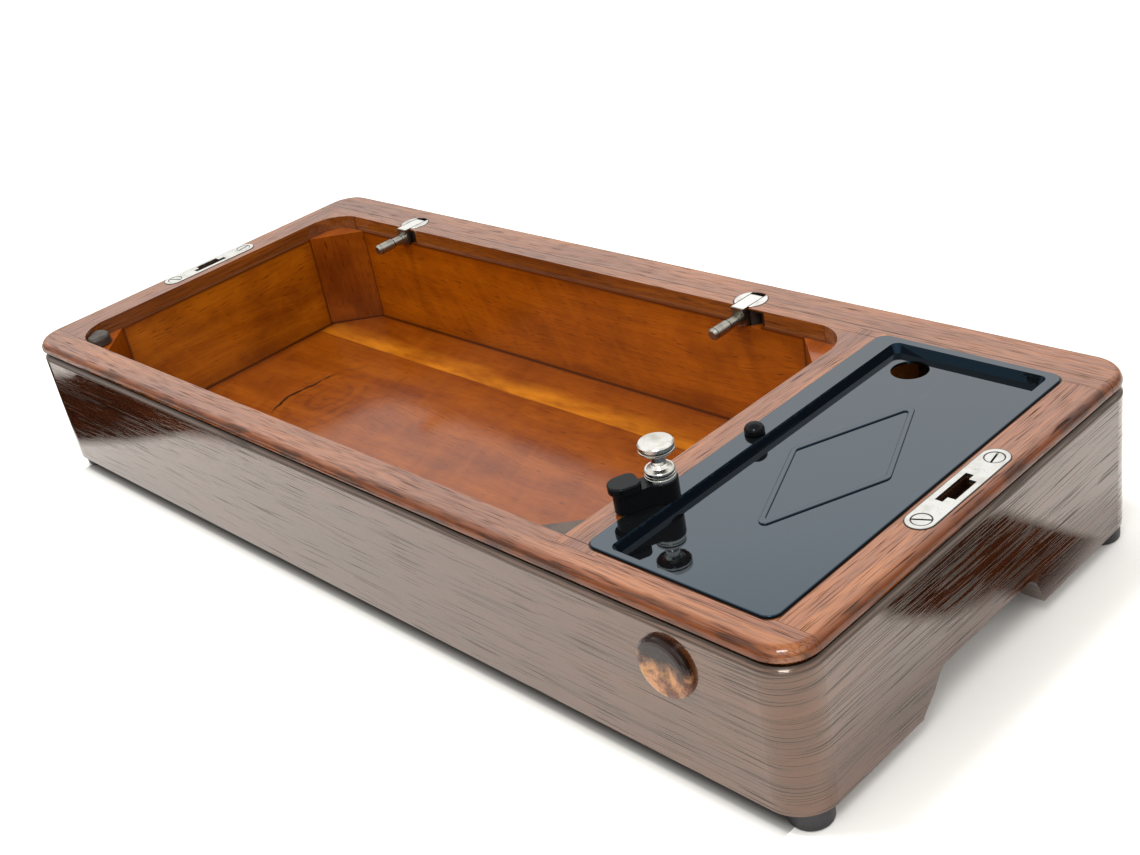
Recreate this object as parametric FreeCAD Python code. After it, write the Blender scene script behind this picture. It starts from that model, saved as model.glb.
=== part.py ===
import FreeCAD
import Part
import math
import os

os.makedirs("parts", exist_ok=True)
V = FreeCAD.Vector

# Portable sewing-machine base: driving dimensions in millimetres.
base_length = 507.0
base_depth = 220.0
foot_height = 8.0
wall_height = 61.8
wall_thick = 10.0
corner_r = 15.5
rail_thick = 7.5
rail_round = 4.0
rail_under_chamfer = 2.8
wall_bevel = 1.7

# Machine well and the rails around it.
left_rail_w = 20.4
front_rail_w = 14.8
back_rail_w = 26.3
well_length = 372.7
cross_rail_w = 19.8
cross_rail_tongue = 4.6
right_rail_w = 20.9
well_corner_r = 19.0
corner_block_leg = 16.5
lining_proud = 1.7
floor_thick = 5.0
floor_raise = 1.5
post_leg = 25.0
back_left_leg = 22.3
pad_stand = 5.7
pad_gap = 0.4
pad_r = 7.2
pad_in_x = 7.5
pad_in_y = 9.2
pad_leg_x = 17.2
pad_leg_y = 16.0

# Hand-hold arches in the two ends.
arch_half_w = 40.0
arch_top_half_w = 27.0
arch_height = 15.5
arch_centre_y = -3.0
arch_back_fuller = 3.4

# Pressed tray.
tray_sheet = 1.0
tray_depth = 4.0
tray_slope = 1.5
tray_flange_left = 8.1
tray_flange = 3.0
tray_corner_r = 5.0
tray_gap = 0.4
cable_hole_r = 7.9
cable_hole_in_x = 16.3
cable_hole_in_y = 13.3
bead_half_x = 21.3
bead_half_y = 48.2
bead_w = 2.2
bead_h = 0.6
stud_r = 4.1
stud_h = 4.5
stud_y = -5.5
stud_out = 0.7
stud_shank_r = 2.0

# Bed latch with its thumb screw.
latch_y = -58.0
latch_in = 4.0
latch_gap = 0.15
latch_lean = 23.0
hub_r = 6.4
hub_h = 8.4
toe_near = 9.0
toe_reach = 21.0
toe_half_w = 5.3
toe_cap_h = 3.6
toe_stand = 11.6
toe_inset = 1.4
washer_h = 1.2
thumb_head_r = 6.85
thumb_head_h = 4.0
thumb_ring_r = 5.8
thumb_h = 13.6
thumb_neck_r = 2.7
thumb_shank_r = 2.5
running = 0.08

# Hinges in the back rail.
hinge_spacing = 245.0
hinge_mid_x = -45.75
cup_r = 7.8
cup_lip = 0.5
cup_depth = 13.0
arm_w = 7.0
arm_gap = 0.2
pin_drop = 4.9
pin_r = 2.9
pin_neck_r = 2.45
pin_collar_r = 3.7
pin_reach = 21.9
pin_body_len = 11.2
arm_overhang = 3.5
knuckle_r = 2.6
pivot_r = 1.2
notch_narrow = 5.3
notch_wide = 11.6

# Strike plates.
plate_w = 11.7
plate_l = 59.0
plate_t = 1.5
plate_stand = 0.3
plate_centre_y = -0.8
plate_in = 9.85
plate_screw_pitch = 46.6
plate_screw_r = 3.75
screw_shank_r = 1.7
screw_len = 6.5
slot_inner_w = 3.2
slot_inner_l = 20.0
slot_outer_w = 3.3
slot_outer_l = 13.5
slot_pocket = 6.0

# Knee-bar hole plug.
plug_x = 198.2
plug_up = 44.7
plug_r = 12.3
plug_stand = 3.2
plug_shank_r = 11.0
plug_shank_l = 9.0

# Rubber feet.
foot_r = 8.3
foot_in_x = 9.9
foot_in_y = 12.2

# Levels and planes that follow from the sizes above.
half_l = base_length / 2.0
half_d = base_depth / 2.0
z_wall = foot_height
z_joint = foot_height + wall_height
z_top = z_joint + rail_thick
well_x0 = -half_l + left_rail_w
well_x1 = well_x0 + well_length
well_y0 = -half_d + front_rail_w
well_y1 = half_d - back_rail_w
bay_x0 = well_x1 + cross_rail_w
bay_x1 = half_l - right_rail_w
wall_x = half_l - wall_thick
wall_y = half_d - wall_thick
in_x0 = well_x0 + lining_proud
in_x1 = well_x1 - lining_proud
in_y0 = well_y0 + lining_proud
in_y1 = well_y1 - lining_proud
z_floor0 = z_wall + floor_raise
z_floor = z_floor0 + floor_thick
z_flange = z_top + tray_sheet
latch_x = bay_x0 - latch_in
stud_x = latch_x + stud_out
z_latch = z_flange + latch_gap
z_hub = z_latch + hub_h
hinge_y = well_y1 + cup_r - 0.7
hinge_z = z_top - pin_drop
plug_z = z_wall + plug_up
# The outline with the plug is centred on the origin.
origin_shift = plug_stand / 2.0


def box(x0, x1, y0, y1, z0, z1):
    return Part.makeBox(x1 - x0, y1 - y0, z1 - z0, V(x0, y0, z0))


def upright(x, y, z0, z1, r):
    return Part.makeCylinder(r, z1 - z0, V(x, y, z0))


def along_y(x, y0, y1, z, r):
    return Part.makeCylinder(r, y1 - y0, V(x, y0, z), V(0, 1, 0))


def along_x(x0, x1, y, z, r):
    return Part.makeCylinder(r, x1 - x0, V(x0, y, z), V(1, 0, 0))


def round_rect_wire(x0, x1, y0, y1, z, radii):
    # Radii in the order front left, front right, back right, back left.
    a, b, c, d = radii
    edges = []
    k = math.sqrt(0.5)

    def line(p, q):
        if (q - p).Length > 1e-6:
            edges.append(Part.makeLine(p, q))

    def arc(cx, cy, r, ang):
        if r > 0.0:
            m = math.radians(ang)
            h = math.radians(45.0)
            pts = []
            for t in (m - h, m, m + h):
                pts.append(V(cx + r * math.cos(t), cy + r * math.sin(t), z))
            edges.append(Part.Arc(pts[0], pts[1], pts[2]).toShape())

    line(V(x0 + a, y0, z), V(x1 - b, y0, z))
    arc(x1 - b, y0 + b, b, -45.0)
    line(V(x1, y0 + b, z), V(x1, y1 - c, z))
    arc(x1 - c, y1 - c, c, 45.0)
    line(V(x1 - c, y1, z), V(x0 + d, y1, z))
    arc(x0 + d, y1 - d, d, 135.0)
    line(V(x0, y1 - d, z), V(x0, y0 + a, z))
    arc(x0 + a, y0 + a, a, 225.0)
    return Part.Wire(edges)


def slab(x0, x1, y0, y1, z0, z1, radii):
    face = Part.Face(round_rect_wire(x0, x1, y0, y1, z0, radii))
    return face.extrude(V(0, 0, z1 - z0))


def level_edges(shape, z):
    found = []
    for e in shape.Edges:
        b = e.BoundBox
        if abs(b.ZMin - z) < 1e-4 and abs(b.ZMax - z) < 1e-4:
            found.append(e)
    return found


def upright_edges(shape):
    found = []
    for e in shape.Edges:
        b = e.BoundBox
        if b.XLength < 1e-4 and b.YLength < 1e-4 and b.ZLength > 1e-3:
            found.append(e)
    return found


def prism(points, direction):
    wire = Part.makePolygon(points + [points[0]])
    return Part.Face(wire).extrude(direction)


def revolve(profile, x, y, z):
    # Profile of (radius, height) pairs turned about an upright axis.
    pts = []
    for r, h in profile:
        pts.append(V(r, 0, h))
    wire = Part.makePolygon(pts + [pts[0]])
    solid = Part.Face(wire).revolve(V(0, 0, 0), V(0, 0, 1), 360)
    solid.translate(V(x, y, z))
    return solid


def save(name, shape):
    out = shape.copy()
    out.translate(V(0, origin_shift, 0))
    out.exportStep("parts/" + name + ".step")


def four(r):
    return (r, r, r, r)


def outer_shell():
    body = slab(-half_l, half_l, -half_d, half_d, z_wall, z_joint, four(corner_r))
    body = body.makeChamfer(wall_bevel, level_edges(body, z_joint))
    body = body.makeChamfer(0.4, level_edges(body, z_wall))
    inner_r = corner_r - wall_thick
    hollow = slab(-wall_x, wall_x, -wall_y, wall_y, z_wall - 1, z_joint + 1, four(inner_r))
    return body.cut(hollow)


def end_walls(shell):
    straight = half_d - corner_r
    left = shell.common(box(-half_l - 1, 0, -straight, straight, z_wall - 1, z_joint + 1))
    right = shell.common(box(0, half_l + 1, -straight, straight, z_wall - 1, z_joint + 1))
    return left.cut(arch(-1)), right.cut(arch(1))


def arch(side):
    # Flat-topped arch with an S curve down each flank.
    x0 = side * (half_l - wall_thick - 1)
    low = z_wall - 1.0
    mid_w = (arch_half_w + arch_top_half_w) / 2.0
    mid_z = z_wall + arch_height * 0.55
    top_z = z_wall + arch_height
    edges = []
    flank = []
    for s, full in ((-1, 0.0), (1, arch_back_fuller)):
        pts = []
        pts.append(V(x0, arch_centre_y + s * (arch_half_w + 2.0 - full * 0.4), z_wall))
        pts.append(V(x0, arch_centre_y + s * (arch_half_w - 1.6 + full * 0.2), z_wall + arch_height * 0.25))
        pts.append(V(x0, arch_centre_y + s * (mid_w + full), mid_z))
        pts.append(V(x0, arch_centre_y + s * (arch_top_half_w + 2.4 + full), top_z - arch_height * 0.09))
        pts.append(V(x0, arch_centre_y + s * arch_top_half_w, top_z))
        curve = Part.BSplineCurve()
        curve.interpolate(pts)
        edges.append(curve.toShape())
        flank.append(pts)
    edges.append(Part.makeLine(flank[0][4], flank[1][4]))
    for pts in flank:
        edges.append(Part.makeLine(pts[0], V(x0, pts[0].y, low)))
    edges.append(Part.makeLine(V(x0, flank[0][0].y, low), V(x0, flank[1][0].y, low)))
    face = Part.Face(Part.Wire(Part.__sortEdges__(edges)))
    return face.extrude(V(side * (wall_thick + 3), 0, 0))


def long_walls(shell):
    straight = half_d - corner_r
    front = shell.common(box(-half_l - 1, half_l + 1, -half_d - 1, -straight, 0, z_joint + 1))
    back = shell.common(box(-half_l - 1, half_l + 1, straight, half_d + 1, 0, z_joint + 1))
    hole = along_y(plug_x, -half_d - 1, -wall_y + 1, plug_z, plug_shank_r + running)
    return front.cut(hole), back


def hinge_x():
    return (hinge_mid_x - hinge_spacing / 2.0, hinge_mid_x + hinge_spacing / 2.0)


def hinge_mortise():
    # Room for the two hinge cups and, in front of them, the notches for the arms.
    cuts = []
    for x, wide in zip(hinge_x(), (notch_narrow, notch_wide)):
        cuts.append(upright(x, hinge_y, z_top - cup_depth - 0.1, z_top + 1, cup_r + 0.15))
        z0 = hinge_z - pin_collar_r - 0.4
        front = in_y1 - 1
        cuts.append(box(x - notch_narrow, x + wide, front, hinge_y, z0, z_top - 1.5))
        half = arm_w / 2.0 + arm_gap
        cuts.append(box(x - half, x + half, front, hinge_y, z0, z_top + 1))
    return cuts[0].multiFuse(cuts[1:])


def strike_recess(side):
    x = side * (half_l - plate_in)
    hw = plate_w / 2.0 + 0.1
    hl = plate_l / 2.0 + 0.1
    y = plate_centre_y
    z0 = z_top - (plate_t - plate_stand)
    cut = slab(x - hw, x + hw, y - hl, y + hl, z0, z_top + 1, four(hw - 0.01))
    cut = cut.fuse(strike_slot(side, z_top - slot_pocket, z_top + 1))
    for sy in (-1, 1):
        ys = y + sy * plate_screw_pitch / 2.0
        cut = cut.fuse(upright(x, ys, z_top - 7.0, z_top, plate_screw_r * 0.6 + 0.2))
    return cut


def strike_slot(side, z0, z1):
    # Long inner step towards the well, shorter outer step beside it.
    x = side * (half_l - plate_in)
    y = plate_centre_y - 0.5
    xi = sorted((x - side * 3.1, x + side * 0.1))
    xo = sorted((x, x + side * slot_outer_w))
    li = slot_inner_l / 2.0
    lo = slot_outer_l / 2.0
    inner = box(xi[0], xi[1], y - li, y + li, z0, z1)
    outer = box(xo[0], xo[1], y - lo, y + lo, z0, z1)
    return inner.fuse(outer).removeSplitter()


def frame_slab():
    top = slab(-half_l, half_l, -half_d, half_d, z_joint, z_top, four(corner_r))
    top = top.makeChamfer(rail_under_chamfer, level_edges(top, z_joint))
    top = top.makeFillet(rail_round, level_edges(top, z_top))
    return top


def rails():
    top = frame_slab()
    big = half_l + 1
    z0 = z_joint - 1
    z1 = z_top + 1
    y0 = well_y0
    y1 = well_y1
    fy = y0 - cross_rail_tongue
    by = y1 + cross_rail_tongue
    cross = box(well_x1, bay_x0, fy, by, z_joint, z_top)
    front = top.common(box(-big, big, -half_d - 1, y0, z0, z1)).cut(cross)
    back = top.common(box(-big, big, y1, half_d + 1, z0, z1)).cut(cross)
    back = back.cut(hinge_mortise())
    left = top.common(box(-big, well_x0, y0, y1, z0, z1)).cut(strike_recess(-1))
    right = top.common(box(bay_x1, big, y0, y1, z0, z1)).cut(strike_recess(1))
    cross = cross.cut(upright(latch_x, latch_y, z0, z1, thumb_shank_r + 0.3))
    cross = cross.cut(upright(stud_x, stud_y, z0, z1, stud_shank_r + running))
    return {"top_rail_front": front, "top_rail_back": back, "top_rail_left": left,
            "top_rail_right": right, "cross_rail": cross}


def corner_block(cx, cy, sx, sy):
    # Fills the angle between two rails with a hollow quarter curve.
    leg = corner_block_leg
    r = well_corner_r
    xs = sorted((cx, cx + sx * leg))
    ys = sorted((cy, cy + sy * leg))
    block = box(xs[0], xs[1], ys[0], ys[1], z_joint, z_top)
    return block.cut(upright(cx + sx * r, cy + sy * r, z_joint - 1, z_top + 1, r))


def corner_blocks():
    blocks = [corner_block(well_x0, well_y0, 1, 1)]
    blocks.append(corner_block(well_x0, well_y1, 1, -1))
    blocks.append(corner_block(well_x1, well_y1, -1, -1))
    return Part.makeCompound(blocks)


def linings():
    back = box(-wall_x, in_x1, in_y1, wall_y, z_floor0, z_joint)
    back = back.cut(hinge_mortise())
    front = box(-wall_x, in_x1, -wall_y, in_y0, z_floor0, z_joint)
    left = box(-wall_x, in_x0, in_y0, in_y1, z_floor0, z_joint)
    right = box(in_x1, bay_x0, -wall_y, wall_y, z_floor0, z_joint)
    right = right.cut(upright(latch_x, latch_y, z_joint - 12, z_joint + 1, thumb_shank_r + 0.3))
    inner_r = corner_r - wall_thick
    room = slab(-wall_x, wall_x, -wall_y, wall_y, z_wall, z_joint, four(inner_r))
    return {"lining_back": back.common(room), "lining_front": front.common(room),
            "lining_left": left, "divider": right}


def floor_board():
    return box(in_x0, in_x1, in_y0, in_y1, z_floor0, z_floor)


def post(cx, cy, sx, sy, leg):
    a = V(cx, cy, z_floor)
    b = V(cx + sx * leg, cy, z_floor)
    c = V(cx, cy + sy * leg, z_floor)
    return prism([a, b, c], V(0, 0, z_joint - z_floor))


def round_pad():
    # Domed rest pad on the front left post, trimmed to the room inside the well corner.
    z1 = z_joint + pad_stand
    g = pad_gap
    r = well_corner_r
    body = upright(well_x0 + pad_in_x, well_y0 + pad_in_y, z_joint, z1, pad_r)
    body = body.makeFillet(2.2, level_edges(body, z1))
    room = slab(well_x0 + g, 0, well_y0 + g, 0, z_joint, z_top, (r - g, 0, 0, 0))
    return body.common(room)


def corner_pad():
    # Three-cornered rest pad on the front right post.
    cx = well_x1 - pad_gap
    cy = well_y0 + pad_gap
    points = [V(cx, cy, z_joint), V(cx, cy + pad_leg_y, z_joint), V(cx - pad_leg_x, cy, z_joint)]
    body = prism(points, V(0, 0, pad_stand))
    return body.makeFillet(0.6, level_edges(body, z_joint + pad_stand))


def tray():
    # Pressed sheet: flange, sloping walls, flat floor with a raised diamond bead.
    fx0 = bay_x0 - tray_flange_left
    fx1 = bay_x1 + tray_flange + 0.3
    fy0 = well_y0 - 1.3
    fy1 = well_y1 + 2.5
    flange = slab(fx0, fx1, fy0, fy1, z_top, z_flange, four(tray_corner_r))
    flange = flange.makeFillet(0.45, level_edges(flange, z_flange))
    x0 = bay_x0 + tray_gap
    x1 = bay_x1 - tray_gap
    y0 = well_y0 + tray_gap
    y1 = well_y1 - tray_gap
    s = tray_slope
    t = tray_sheet
    z_in = z_flange - tray_depth
    r = 4.0
    top_out = round_rect_wire(x0, x1, y0, y1, z_top, four(r))
    low_out = round_rect_wire(x0 + s, x1 - s, y0 + s, y1 - s, z_in - t, four(r - s * 0.5))
    out = Part.makeLoft([top_out, low_out], True, True)
    top_in = round_rect_wire(x0 + t, x1 - t, y0 + t, y1 - t, z_flange + 0.001, four(r - 0.8))
    low_in = round_rect_wire(x0 + t + s, x1 - t - s, y0 + t + s, y1 - t - s, z_in, four(r - 0.8 - s * 0.5))
    hollow = Part.makeLoft([top_in, low_in], True, True)
    pan = flange.fuse(out).cut(hollow)
    pan = pan.fuse(bead((x0 + x1) / 2.0 - 1.6, (y0 + y1) / 2.0 + 2.4, z_in))
    hx = x0 + cable_hole_in_x
    hy = y1 - cable_hole_in_y
    pan = pan.cut(upright(hx, hy, z_in - 3, z_in + 3, cable_hole_r))
    pan = pan.cut(upright(latch_x, latch_y, z_top - 1, z_flange + 1, thumb_shank_r + 0.3))
    pan = pan.cut(upright(stud_x, stud_y, z_top - 1, z_flange + 1, stud_shank_r + running))
    return pan


def diamond(cx, cy, z, grow, h, side_r, tip_r):
    reach = bead_half_x * bead_half_y / math.hypot(bead_half_x, bead_half_y)
    k = (reach + grow) / reach
    a = bead_half_x * k
    b = bead_half_y * k
    pts = [V(cx + a, cy, z), V(cx, cy + b, z), V(cx - a, cy, z), V(cx, cy - b, z)]
    solid = prism(pts, V(0, 0, h))
    tips = [e for e in upright_edges(solid) if abs(e.BoundBox.XMin - cx) < 1.0]
    solid = solid.makeFillet(tip_r, tips)
    sides = [e for e in upright_edges(solid) if abs(e.BoundBox.YMin - cy) < 0.01]
    return solid.makeFillet(side_r, sides)


def bead(cx, cy, z):
    out = diamond(cx, cy, z, bead_w / 2.0, bead_h, 4.5, 2.5)
    hole = diamond(cx, cy, z, -bead_w / 2.0, bead_h, 2.5, 1.2)
    ring = out.cut(hole)
    return ring.makeFillet(bead_h * 0.75, level_edges(ring, z + bead_h))


def tray_stud():
    r = stud_r
    h = stud_h
    profile = [(0, -8.0), (stud_shank_r, -8.0), (stud_shank_r, 0), (r * 0.86, 0), (r, 0.5)]
    profile.append((r, h * 0.34))
    for i in range(1, 8):
        t = math.radians(90.0 * i / 7.0)
        profile.append((r * math.cos(t), h * 0.34 + h * 0.66 * math.sin(t)))
    profile[-1] = (0, h)
    return revolve(profile, stud_x, stud_y, z_flange)


def latch_lever():
    # Swivelling latch: hub, arm and raised toe, built pointing along -Y then leaned.
    hub = upright(0, 0, 0, hub_h, hub_r)
    hub = hub.makeFillet(0.7, level_edges(hub, hub_h))
    w = toe_half_w - toe_inset
    cap0 = toe_stand - toe_cap_h
    arm = box(-w, w, -toe_reach + w + toe_inset, 0, 0, cap0 + 0.1)
    nose = upright(0, -toe_reach + w + toe_inset, 0, cap0 + 0.1, w)
    near = -toe_near
    far = -toe_reach
    cap = slab(-toe_half_w, toe_half_w, far, near, cap0, toe_stand,
               (toe_half_w - 0.01, toe_half_w - 0.01, 3.0, 3.0))
    cap = cap.makeFillet(0.7, level_edges(cap, toe_stand) + level_edges(cap, cap0))
    lever = hub.fuse(arm).fuse(nose).fuse(cap)
    lever = lever.cut(upright(0, 0, -1, hub_h + 1, thumb_shank_r + running))
    lever.rotate(V(0, 0, 0), V(0, 0, 1), -latch_lean)
    lever.translate(V(latch_x, latch_y, z_latch))
    return lever


def thumb_washer():
    z0 = z_hub + 0.05
    ring = upright(latch_x, latch_y, z0, z0 + washer_h, thumb_ring_r + 0.2)
    ring = ring.makeFillet(0.3, level_edges(ring, z0 + washer_h))
    return ring.cut(upright(latch_x, latch_y, z0 - 1, z0 + 3, thumb_shank_r + running))


def thumb_screw():
    # One turned piece: shank, grooved shoulder ring, waist and grooved head.
    z0 = z_hub + 0.05 + washer_h + 0.05
    deep = z0 - (z_joint - 9.0)
    a = thumb_ring_r
    n = thumb_neck_r
    b = thumb_head_r
    head0 = thumb_h - thumb_head_h
    p = [(0, -deep), (thumb_shank_r - 0.6, -deep), (thumb_shank_r, -deep + 0.6), (thumb_shank_r, 0)]
    p += [(a - 0.4, 0), (a, 0.35), (a, 0.95), (a - 0.5, 1.25), (a, 1.55), (a, 2.3), (a - 0.35, 2.65)]
    p += [(a - 0.9, 2.65), (n + 1.2, 3.3), (n + 0.25, 4.4), (n, 5.6), (n + 0.1, head0 - 2.0)]
    p += [(n + 0.8, head0 - 0.8), (n + 2.0, head0), (b - 0.7, head0), (b, head0 + 0.7)]
    p += [(b, head0 + 1.3), (b - 0.45, head0 + 1.6), (b, head0 + 1.9)]
    p += [(b, thumb_h - 0.5), (b - 0.5, thumb_h), (0, thumb_h + 0.15)]
    return revolve(p, latch_x, latch_y, z0)


def hinge_cup(x):
    # Round cup with a slot through it for the arm.
    z0 = z_top - cup_depth
    cup = upright(x, hinge_y, z0, z_top, cup_r - 0.3)
    lip = upright(x, hinge_y, z_top - 1.5, z_top + cup_lip, cup_r)
    lip = lip.makeFillet(0.3, level_edges(lip, z_top + cup_lip))
    half = arm_w / 2.0 + arm_gap
    floor = hinge_z - pin_collar_r - 0.4
    slot = box(x - half, x + half, hinge_y - 2 * cup_r, hinge_y + 2 * cup_r, floor, z_top + 2)
    cup = cup.fuse(lip).cut(slot)
    return cup.cut(along_x(x - cup_r, x + cup_r, pivot_y(), pivot_z(), pivot_r))


def pivot_y():
    return hinge_y + cup_r - knuckle_r - 1.4


def pivot_z():
    return z_top + cup_lip - knuckle_r


def hinge_pivot(x):
    reach = math.sqrt((cup_r - 0.35) ** 2 - (pivot_y() - hinge_y + pivot_r) ** 2)
    return along_x(x - reach, x + reach, pivot_y(), pivot_z(), pivot_r)


def hinge_arm(x):
    # Flat strip over the cup, drop block at the rail face, and the plain pin that
    # carries the machine bed.
    h = arm_w / 2.0
    top = z_top + cup_lip
    front = well_y1 - arm_overhang
    strip = box(x - h, x + h, front, pivot_y(), top - 2.3, top)
    strip = strip.fuse(along_x(x - h, x + h, pivot_y(), pivot_z(), knuckle_r))
    low = hinge_z - pin_collar_r + 0.2
    block = box(x - h, x + h, front + 0.8, front + 5.6, low, top - 1)
    collar = along_y(x, front - 0.3, front + 1.5, hinge_z, pin_collar_r)
    neck = along_y(x, front - 1.6, front + 1, hinge_z, pin_r + 0.2)
    y_tip = front - (pin_reach - arm_overhang)
    y_body = y_tip + pin_body_len
    shaft = along_y(x, y_body, front, hinge_z, pin_neck_r)
    body = along_y(x, y_tip, y_body, hinge_z, pin_r)
    body = body.makeChamfer(0.9, [body.Edges[i] for i in round_rims(body)])
    ring = along_y(x, y_tip + 1.6, y_tip + 2.0, hinge_z, pin_r + 1)
    ring = ring.cut(along_y(x, y_tip + 1.5, y_tip + 2.1, hinge_z, pin_r - 0.35))
    arm = strip.multiFuse([block, collar, neck, shaft, body]).cut(ring)
    return arm.cut(along_x(x - h - 1, x + h + 1, pivot_y(), pivot_z(), pivot_r + running))


def round_rims(shape):
    rims = []
    for i, e in enumerate(shape.Edges):
        if e.BoundBox.YLength < 1e-4:
            rims.append(i)
    return rims


def strike_plate(side):
    x = side * (half_l - plate_in)
    y = plate_centre_y
    z0 = z_top - (plate_t - plate_stand)
    z1 = z_top + plate_stand
    hw = plate_w / 2.0
    hl = plate_l / 2.0
    body = slab(x - hw, x + hw, y - hl, y + hl, z0, z1, four(hw - 0.01))
    body = body.makeFillet(0.25, level_edges(body, z1))
    body = body.cut(strike_slot(side, z0 - 1, z1 + 1))
    for s in (-1, 1):
        body = body.cut(countersunk(x, y + s * plate_screw_pitch / 2.0, z1, 0.15))
    return body


def countersunk(x, y, z, clear):
    r = plate_screw_r + clear
    s = screw_shank_r + clear
    return revolve([(0, -screw_len), (s, -screw_len + 1.5), (s, s - r), (r, 0), (r, 0.001), (0, 0.001)], x, y, z)


def plate_screws(side):
    x = side * (half_l - plate_in)
    z1 = z_top + plate_stand - 0.1
    screws = []
    for s, turn in ((-1, 25.0), (1, 100.0)):
        y = plate_centre_y + s * plate_screw_pitch / 2.0
        body = countersunk(x, y, z1, 0.0)
        cut = Part.makeBox(2 * plate_screw_r + 1, 0.9, 1.0, V(-plate_screw_r - 0.5, -0.45, -0.8))
        cut.rotate(V(0, 0, 0), V(0, 0, 1), turn)
        cut.translate(V(x, y, z1))
        screws.append(body.cut(cut))
    return Part.makeCompound(screws)


def knee_plug():
    # Domed plug with a rounded rim and a plain shank in the wall.
    r = plug_r
    s = plug_stand
    p = [(0, -plug_shank_l), (plug_shank_r - 0.6, -plug_shank_l), (plug_shank_r, -plug_shank_l + 0.6)]
    p += [(plug_shank_r, 0.05), (r, 0.05), (r, s * 0.45), (r - 0.35, s * 0.72), (r - 1.2, s * 0.93)]
    p += [(r - 2.4, s), (0, s)]
    solid = revolve(p, 0, 0, 0)
    solid.rotate(V(0, 0, 0), V(1, 0, 0), 90)
    solid.translate(V(plug_x, -half_d, plug_z))
    return solid


def foot(sx, sy):
    x = sx * (half_l - foot_in_x)
    y = sy * (half_d - foot_in_y)
    body = upright(x, y, 0, foot_height, foot_r)
    return body.makeFillet(1.3, level_edges(body, 0.0))


def build():
    shell = outer_shell()
    front, back = long_walls(shell)
    left, right = end_walls(shell)
    save("wall_front", front)
    save("wall_back", back)
    save("wall_left_end", left)
    save("wall_right_end", right)
    for name, shape in rails().items():
        save(name, shape)
    save("frame_corner_blocks", corner_blocks())
    for name, shape in linings().items():
        save(name, shape)
    save("floor_board", floor_board())
    save("post_front_left", post(in_x0, in_y0, 1, 1, post_leg))
    save("post_back_left", post(in_x0, in_y1, 1, -1, back_left_leg))
    save("post_front_right", post(in_x1, in_y0, -1, 1, post_leg))
    save("post_back_right", post(in_x1, in_y1, -1, -1, post_leg))
    save("rest_pad_left", round_pad())
    save("rest_pad_right", corner_pad())
    save("tray", tray())
    save("tray_stud", tray_stud())
    save("latch_lever", latch_lever())
    save("thumb_washer", thumb_washer())
    save("thumb_screw", thumb_screw())
    for label, x in zip(("left", "right"), hinge_x()):
        save(label + "_hinge_cup", hinge_cup(x))
        save(label + "_hinge_pivot", hinge_pivot(x))
        save(label + "_hinge_arm", hinge_arm(x))
    for label, side in (("left", -1), ("right", 1)):
        save(label + "_strike_plate", strike_plate(side))
        save(label + "_strike_screws", plate_screws(side))
    save("knee_plug", knee_plug())
    for label, sx, sy in (("front_left", -1, -1), ("front_right", 1, -1),
                          ("back_left", -1, 1), ("back_right", 1, 1)):
        save("foot_" + label, foot(sx, sy))


build()
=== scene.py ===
import bpy
import bmesh
import math
from mathutils import Matrix, Vector, noise


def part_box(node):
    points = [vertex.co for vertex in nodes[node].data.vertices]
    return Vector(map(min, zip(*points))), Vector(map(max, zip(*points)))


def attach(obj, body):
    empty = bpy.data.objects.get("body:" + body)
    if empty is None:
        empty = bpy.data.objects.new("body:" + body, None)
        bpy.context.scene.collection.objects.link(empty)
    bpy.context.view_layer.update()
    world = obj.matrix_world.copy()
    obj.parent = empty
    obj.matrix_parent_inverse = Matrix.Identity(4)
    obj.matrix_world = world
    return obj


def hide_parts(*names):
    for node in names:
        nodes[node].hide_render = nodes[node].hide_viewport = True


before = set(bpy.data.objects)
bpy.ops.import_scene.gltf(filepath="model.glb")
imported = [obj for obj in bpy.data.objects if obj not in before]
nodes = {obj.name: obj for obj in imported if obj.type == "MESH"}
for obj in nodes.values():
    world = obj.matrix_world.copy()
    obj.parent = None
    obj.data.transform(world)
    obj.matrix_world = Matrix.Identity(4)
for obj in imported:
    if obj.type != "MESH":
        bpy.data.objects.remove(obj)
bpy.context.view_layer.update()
scene = bpy.context.scene


# ---------------------------------------------------------------- small helpers
def node_box(*names):
    """The box round several nodes, in metres."""
    lo = Vector((1e9, 1e9, 1e9))
    hi = -lo
    for n in names:
        a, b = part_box(n)
        lo = Vector(map(min, lo, a))
        hi = Vector(map(max, hi, b))
    return lo, hi


def new_object(name, data):
    o = bpy.data.objects.new(name, data)
    scene.collection.objects.link(o)
    return o


def srgb(r, g, b):
    """A colour in steps of 0 to 255, as linear light."""
    out = []
    for c in (r, g, b):
        c = c / 255.0
        out.append(c / 12.92 if c <= 0.04045 else ((c + 0.055) / 1.055) ** 2.4)
    return tuple(out)


def shade(colour, k):
    return tuple(c * k for c in colour)


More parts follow.
